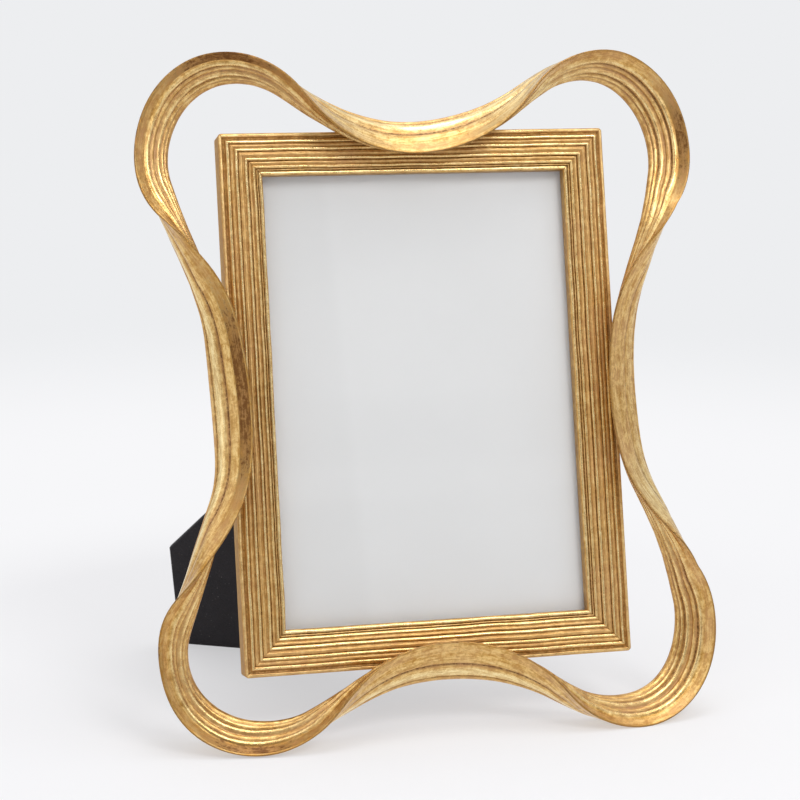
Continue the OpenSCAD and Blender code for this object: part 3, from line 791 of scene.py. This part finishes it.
def rail(name, node, half_long, half_far, cover, turn, seed, sides):
    """The rail along the top of a box, turned to its side. sides names it and its two neighbours, at
    its left and right ends as it lies along the top."""
    profile = rail_profile(cover)
    d, h = profile[:, 0], profile[:, 1]
    own, at_left, at_right = (set_out(d, WIDTH_SHARE[side]) for side in sides)
    rows = []
    ends = []
    for end, other in ((-1, at_left), (1, at_right)):
        shift = np.maximum(other, CORNER_R) + MITRE_START
        corner = []
        for k in range(1, MITRE_STATIONS + 1):
            t = k / MITRE_STATIONS
            angle = math.pi / 2 - t * math.pi / 4
            straight = half_long - shift + t * (shift - other)
            arc_x = half_long - CORNER_R + (CORNER_R - d) * math.cos(angle)
            arc_z = half_far - CORNER_R + (CORNER_R - d) * math.sin(angle)
            x = np.where(d < CORNER_R, arc_x, straight)
            z = np.where(d < CORNER_R, arc_z, half_far - own)
            drop = MITRE_DROP[0] * max(0, (t - MITRE_DROP[1]) / MITRE_DROP[2])
            corner.append(np.stack([end * x, -(h - drop * (h > RABBET_DEPTH)), z], -1))
        rows.append(corner)
        ends.append(end * (half_long - shift))
    middle = [np.stack([ends[0] + (ends[1] - ends[0]) * t, -h, half_far - own], -1)
              for t in np.linspace(0, 1, RAIL_STATIONS)]
    grid = np.array(rows[0][::-1] + middle + rows[1])
    uneven = wobble(grid, *RAIL_SWELL, seed) + wobble(grid, *RAIL_RIPPLE, seed + 7)
    front = np.clip((h - RABBET_DEPTH - UNEVEN_START) / UNEVEN_FADE, 0, 1)[None, :]
    grid[..., 1] += uneven * front
    grid[..., 2] += wobble(grid, *RAIL_SWAY, seed + 13) * front * (d > EDGE_R)[None, :]

    run = np.linalg.norm(np.diff(profile[:, :2], axis=0), axis=1)
    around = np.concatenate([[0], np.cumsum(run)])
    strip = np.stack(np.broadcast_arrays(
        grid[..., 0] * MM * STRIP_ALONG, np.full(grid.shape[:2], seed),
        around[None, :] * MM * STRIP_ACROSS), -1)
    wall = np.where((d <= WALL_DRAFT) & (h < RIM_H - EDGE_R), 1.0, 0.0)
    wall = np.broadcast_to(wall, grid.shape[:2]).reshape(-1)
    values = {"strip": strip.reshape(-1, 3), "wear": WALL_BROWN * wall, "matt": wall}
    for index, key in ((2, "groove"), (3, "crest"), (4, "ground")):
        values[key] = np.broadcast_to(profile[None, :, index], grid.shape[:2]).reshape(-1)

    # Turned to its side about the y axis
    c, s = math.cos(turn), math.sin(turn)
    turned = np.stack([grid[..., 0] * c + grid[..., 2] * s, grid[..., 1],
                       grid[..., 2] * c - grid[..., 0] * s], -1)
    placed = stand(turned)
    count, size = placed.shape[:2]
    faces = ring_faces(count, size, closed=False)
    faces.append(tuple(range(size))[::-1])
    faces.append(tuple((count - 1) * size + j for j in range(size)))
    piece(name, placed, faces, values, MOULDING_GILT, node)


rail("top_rail_moulding", "top_rail", HALF_W, HALF_H, COVER[1], 0.0, 1.0, ("top", "left", "right"))
rail("bottom_rail_moulding", "bottom_rail", HALF_W, HALF_H, COVER[1], math.pi, 2.0,
     ("bottom", "right", "left"))
rail("right_rail_moulding", "right_rail", HALF_H, HALF_W, COVER[0], math.pi / 2, 3.0,
     ("right", "top", "bottom"))
rail("left_rail_moulding", "left_rail", HALF_H, HALF_W, COVER[0], -math.pi / 2, 4.0,
     ("left", "bottom", "top"))


# Materials of the pieces that keep their own solids
CLEAR = linear(252, 252, 252)
PAPER_TONES = (linear(218, 219, 219), linear(222, 223, 223))
CARD_TONES = (linear(176, 158, 128), linear(196, 180, 150))
FLOCK_TONES = (linear(24, 22, 25), linear(45, 42, 46))
NAP_TONE = linear(54, 51, 54)
LINT_TONE = linear(120, 118, 116)


def glass():
    made, tree = new_material("glass")
    shader = add(tree, "ShaderNodeBsdfPrincipled", {
        "Base Color": CLEAR, "Roughness": 0.0, "IOR": 1.5, "Transmission Weight": 1.0})
    clear = add(tree, "ShaderNodeBsdfTransparent", {"Color": CLEAR})
    path = add(tree, "ShaderNodeLightPath")
    through = calc(tree, "MAXIMUM", path.outputs["Is Shadow Ray"], path.outputs["Is Diffuse Ray"])
    mixed = add(tree, "ShaderNodeMixShader", {0: through, 1: shader.outputs[0], 2: clear.outputs[0]})
    add(tree, "ShaderNodeOutputMaterial", {"Surface": mixed.outputs[0]})
    return made


def paper():
    made, tree = new_material("paper")
    place = add(tree, "ShaderNodeTexCoord").outputs["Object"]
    tooth = cloud(tree, place, 900, 4, 0.6)
    drift = cloud(tree, place, 14, 2, 0.5)
    colour = blend_colour(tree, window(tree, drift, 0.35, 0.65), *PAPER_TONES)
    bump = add(tree, "ShaderNodeBump", {"Strength": 0.08, "Distance": 0.0002, "Height": tooth})
    finish_material(tree, Base_Color=colour, Roughness=window(tree, tooth, 0.3, 0.7, 0.5, 0.62),
                    Normal=bump.outputs[0])
    return made


def card():
    made, tree = new_material("card")
    place = add(tree, "ShaderNodeTexCoord").outputs["Object"]
    fibre = cloud(tree, place, 700, 5, 0.7)
    colour = blend_colour(tree, window(tree, fibre, 0.35, 0.65), *CARD_TONES)
    bump = add(tree, "ShaderNodeBump", {"Strength": 0.2, "Distance": 0.0002, "Height": fibre})
    finish_material(tree, Base_Color=colour, Roughness=0.9, Normal=bump.outputs[0])
    return made


def flock(name):
    """Black flocked board: short fibres, a soft sheen and pale lint here and there."""
    made, tree = new_material(name)
    place = add(tree, "ShaderNodeTexCoord").outputs["Object"]
    fibre = cloud(tree, place, 1800, 4, 0.8)
    nap = cloud(tree, place, 70, 4, 0.6, 0.5)
    lint = window(tree, cloud(tree, place, 1300, 1, 0.3), 0.74, 0.78)
    colour = blend_colour(tree, window(tree, fibre, 0.3, 0.7), *FLOCK_TONES)
    colour = blend_colour(tree, window(tree, nap, 0.35, 0.7, 0.0, 0.35), colour, NAP_TONE)
    colour = blend_colour(tree, times(tree, lint, 0.5), colour, LINT_TONE)
    bump = add(tree, "ShaderNodeBump", {"Strength": 0.5, "Distance": 0.0004, "Height": fibre})
    finish_material(tree, Base_Color=colour, Roughness=0.95, Normal=bump.outputs[0],
                    Specular_IOR_Level=0.25, Sheen_Weight=0.25, Sheen_Roughness=0.5)
    return made


def metal(name, colour, dark, rough):
    """Plated sheet metal with a fine brushed grain and faint stains."""
    made, tree = new_material(name)
    place = add(tree, "ShaderNodeTexCoord").outputs["Object"]
    scaled = add(tree, "ShaderNodeMapping", {"Vector": place, "Scale": (1.0, 1.0, 8.0)}).outputs[0]
    brush = cloud(tree, scaled, 900, 3, 0.7)
    stain = cloud(tree, place, 160, 4, 0.65)
    tint = blend_colour(tree, window(tree, stain, 0.4, 0.7, 0.0, 0.6), colour, dark)
    bump = add(tree, "ShaderNodeBump", {"Strength": 0.12, "Distance": 0.0002, "Height": brush})
    finish_material(tree, Base_Color=tint, Metallic=1.0, Normal=bump.outputs[0],
                    Roughness=window(tree, brush, 0.3, 0.7, rough, rough + 0.16))
    return made


def dress(node, material):
    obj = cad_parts[node]
    obj.data.materials.clear()
    obj.data.materials.append(material)
    for face in obj.data.polygons:
        face.material_index = 0


GLASS, PAPER, CARD = glass(), paper(), card()
BOARD = flock("board_flock")
STEEL = metal("zinc_steel", linear(186, 188, 190), linear(120, 118, 114), 0.28)
BRASS = metal("brass_plate", linear(222, 190, 120), linear(150, 112, 58), 0.24)
dress("glass_pane", GLASS)
dress("photo_insert", PAPER)
dress("filler_card", CARD)
dress("back_board", BOARD)
dress("easel_leg", BOARD)
for node in ("corner_v_nails", "turn_button_screws", "hinge_board_leaf", "hinge_leg_leaf", "hinge_pin"):
    dress(node, STEEL)
for node in ("turn_button_top", "turn_button_bottom", "turn_button_left", "turn_button_right",
             "board_rivets", "leg_rivets"):
    dress(node, BRASS)


# Stage: a pale floor that keeps the shadow near the object and runs on as plain backdrop
BACKDROP = linear(237, 238, 240)
HORIZON = linear(247, 247, 249)
FLOOR = linear(239, 239, 241)
# Least share of the floor that glows, as a lit sheet does, which keeps the shadow light
FLOOR_GLOW = 0.48
FLOOR_HALF = 9.0
# Distances from the floor's middle over which it comes to glow whole, and takes the backdrop's colour
FLOOR_FADE = (0.12, 0.32)
FLOOR_TINT = (0.45, 0.9)


def seen_rays(tree):
    """1 for the camera's rays and for those that gloss and glass send out."""
    path = add(tree, "ShaderNodeLightPath")
    seen = calc(tree, "MAXIMUM", path.outputs["Is Camera Ray"], path.outputs["Is Glossy Ray"])
    return calc(tree, "MAXIMUM", seen, path.outputs["Is Transmission Ray"])


def gloss_rays(tree):
    return add(tree, "ShaderNodeLightPath").outputs["Is Glossy Ray"]


def smooth_window(tree, value, low, high):
    made = add(tree, "ShaderNodeMapRange", {"Value": value, "From Min": low, "From Max": high},
               interpolation_type="SMOOTHSTEP")
    return made.outputs["Result"]


def floor():
    far = FLOOR_HALF
    mesh = bpy.data.meshes.new("floor")
    corners = [(-far, -far, 0), (far, -far, 0), (far, far, 0), (-far, far, 0)]
    mesh.from_pydata(corners, [], [(0, 1, 2, 3)])
    made, tree = new_material("floor")
    place = add(tree, "ShaderNodeTexCoord").outputs["Object"]
    flat = add(tree, "ShaderNodeBsdfDiffuse", {"Color": FLOOR})
    away = add(tree, "ShaderNodeVectorMath", {0: place}, operation="LENGTH").outputs["Value"]
    fade = smooth_window(tree, away, *FLOOR_FADE)
    least = plus(tree, FLOOR_GLOW, times(tree, FLOOR_GLOW, gloss_rays(tree)))
    fade = calc(tree, "MAXIMUM", fade, least)
    tint = blend_colour(tree, smooth_window(tree, away, *FLOOR_TINT), HORIZON, BACKDROP)
    glow = add(tree, "ShaderNodeEmission", {"Color": tint, "Strength": 1.0})
    mixed = add(tree, "ShaderNodeMixShader", {0: times(tree, fade, seen_rays(tree)),
                                              1: flat.outputs[0], 2: glow.outputs[0]})
    add(tree, "ShaderNodeOutputMaterial", {"Surface": mixed.outputs[0]})
    mesh.materials.append(made)
    obj = add_object("floor", mesh)


# The studio, as gloss shows it: pale all round, with a dim opening in front that ends at an upright
# edge a little to the right, and a bright ceiling
OPENING_EDGE = math.radians(13.25)
OPENING_SOFT = math.radians(0.15)
OPENING_LEFT = (math.radians(-45), math.radians(-20))
OPENING_DIM = 0.4
# A darker wall to the right, as gloss shows it
RIGHT_WALL = (math.radians(30), math.radians(60))
RIGHT_DIM = 0.5
# It ends towards the side, and this share of its dimness goes there
RIGHT_WALL_END = (math.radians(66), math.radians(84))
RIGHT_END_SHARE = 0.8
CEILING = (0.5, 0.85)
CEILING_STRENGTH = 1.45
# Ambient light from the side and from straight above
AMBIENT = (0.58, 0.88)


def surroundings():
    world = bpy.data.worlds.new("studio")
    bpy.context.scene.world = world
    tree = tree_of(world)
    direction = add(tree, "ShaderNodeTexCoord").outputs["Generated"]
    towards = add(tree, "ShaderNodeSeparateXYZ", {0: direction})
    x, y, z = towards.outputs
    level = window(tree, z, 0.0, 1.0, *AMBIENT)
    ambient = add(tree, "ShaderNodeBackground", {"Color": linear(254, 254, 255), "Strength": level})
    turn = calc(tree, "ARCTAN2", x, times(tree, y, -1.0))
    right = window(tree, turn, OPENING_EDGE - OPENING_SOFT, OPENING_EDGE + OPENING_SOFT, 1.0, 0.0)
    left = smooth_window(tree, turn, *OPENING_LEFT)
    above = smooth_window(tree, z, *CEILING)
    below = minus(tree, 1.0, above)
    opening = times(tree, times(tree, left, right), below)
    wall = smooth_window(tree, turn, *RIGHT_WALL)
    past = times(tree, smooth_window(tree, turn, *RIGHT_WALL_END), RIGHT_END_SHARE)
    wall = times(tree, times(tree, wall, minus(tree, 1.0, past)), below)
    strength = minus(tree, 1.0, times(tree, opening, 1 - OPENING_DIM))
    strength = minus(tree, strength, times(tree, wall, 1 - RIGHT_DIM))
    strength = plus(tree, strength, times(tree, above, CEILING_STRENGTH - 1))
    # Only gloss sees the walls and the ceiling
    strength = minus(tree, strength, 1.0)
    strength = plus(tree, 1.0, times(tree, strength, gloss_rays(tree)))
    seen = add(tree, "ShaderNodeBackground", {"Color": BACKDROP, "Strength": strength})
    mixed = add(tree, "ShaderNodeMixShader", {0: seen_rays(tree), 1: ambient.outputs[0],
                                              2: seen.outputs[0]})
    add(tree, "ShaderNodeOutputWorld", {"Surface": mixed.outputs[0]})


# Lamps: name, place, aim, size and power
LAMPS = [
    ("overhead", (0.1, -0.1, 1.4), (0, 0, 0.1), (0.7, 0.5), 3.2),
    ("key", (0.3, -0.95, 1.05), (0, 0, 0.1), (0.45, 0.45), 5.0),
    ("left_fill", (-1.4, -0.9, 0.9), (0, 0, 0.12), (0.8, 1.2), 1.0),
]


def lamp(name, place, aim, size, power):
    data = bpy.data.lights.new(name, "AREA")
    data.shape = "RECTANGLE"
    data.size, data.size_y = size
    data.energy = power
    obj = add_object(name, data)
    obj.location = place
    obj.rotation_euler = (Vector(aim) - Vector(place)).to_track_quat("-Z", "Y").to_euler()


floor()
surroundings()
for made_lamp in LAMPS:
    lamp(*made_lamp)
